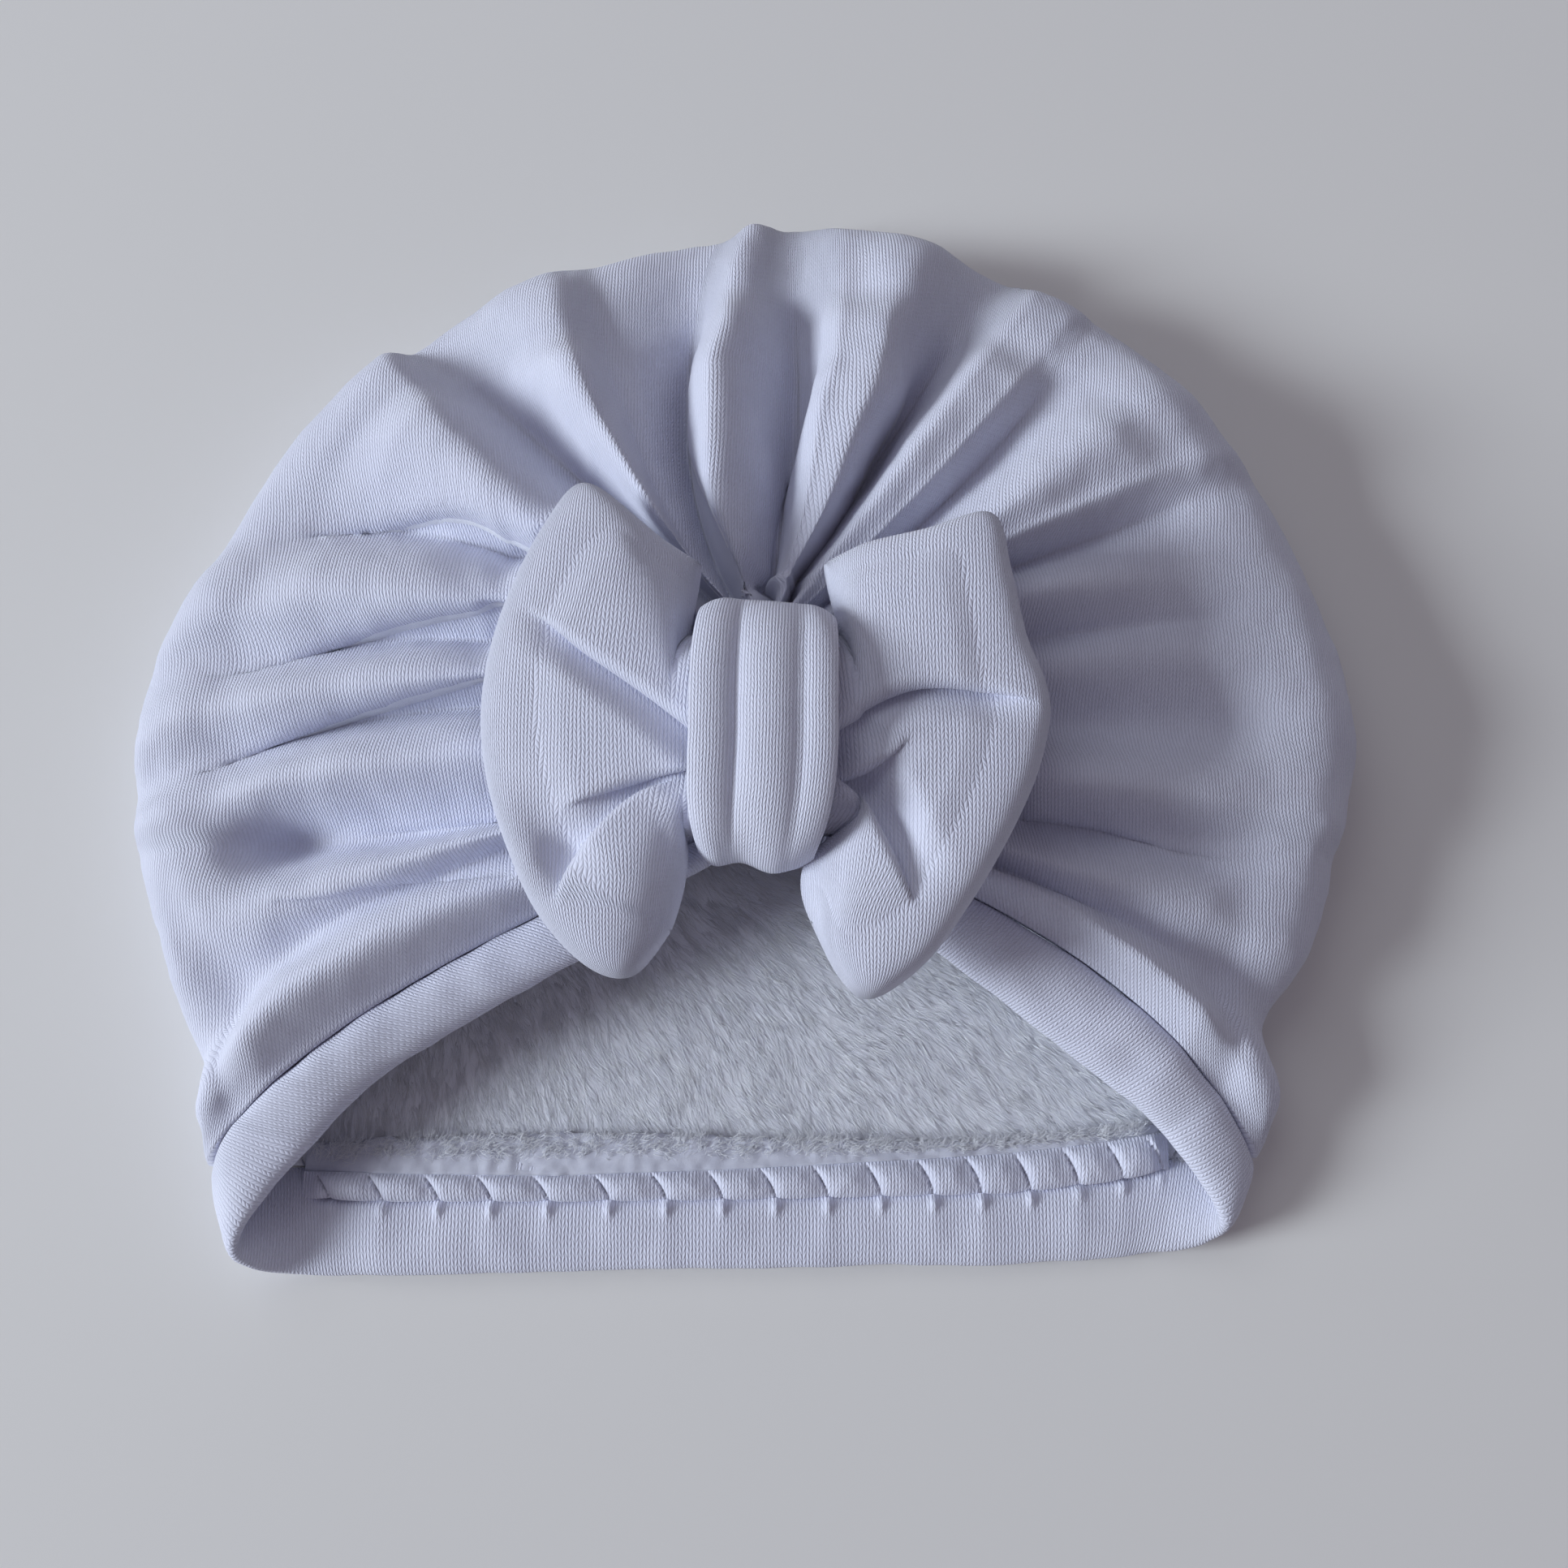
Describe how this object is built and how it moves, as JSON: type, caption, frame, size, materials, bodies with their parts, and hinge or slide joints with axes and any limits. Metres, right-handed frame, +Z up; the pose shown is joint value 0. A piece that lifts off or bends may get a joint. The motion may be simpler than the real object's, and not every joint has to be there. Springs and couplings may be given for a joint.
{
  "type": "baby turban cap with bow",
  "caption": "Gathered baby turban cap of fleece-backed jersey with a padded bow, lying on its back with the opening forward.",
  "frame": {"origin": "middle of the box's underside, on the surface that the cap lies on", "axes": "+Z up from the surface to the bow, -Y out of the opening, +X to the right with the bow towards the viewer"},
  "size_m": [0.187, 0.1676, 0.0444],
  "materials": {
    "jersey": "white cotton jersey with a faint lavender tone, knit outside, brushed pile inside",
    "pile": "white brushed fleece pile, the back of the jersey"
  },
  "bodies": {
    "root": {"crown_front": "jersey", "crown_back": "jersey", "hem_band": "jersey", "bow": "jersey", "knot_band": "jersey"}
  },
  "joints": []
}
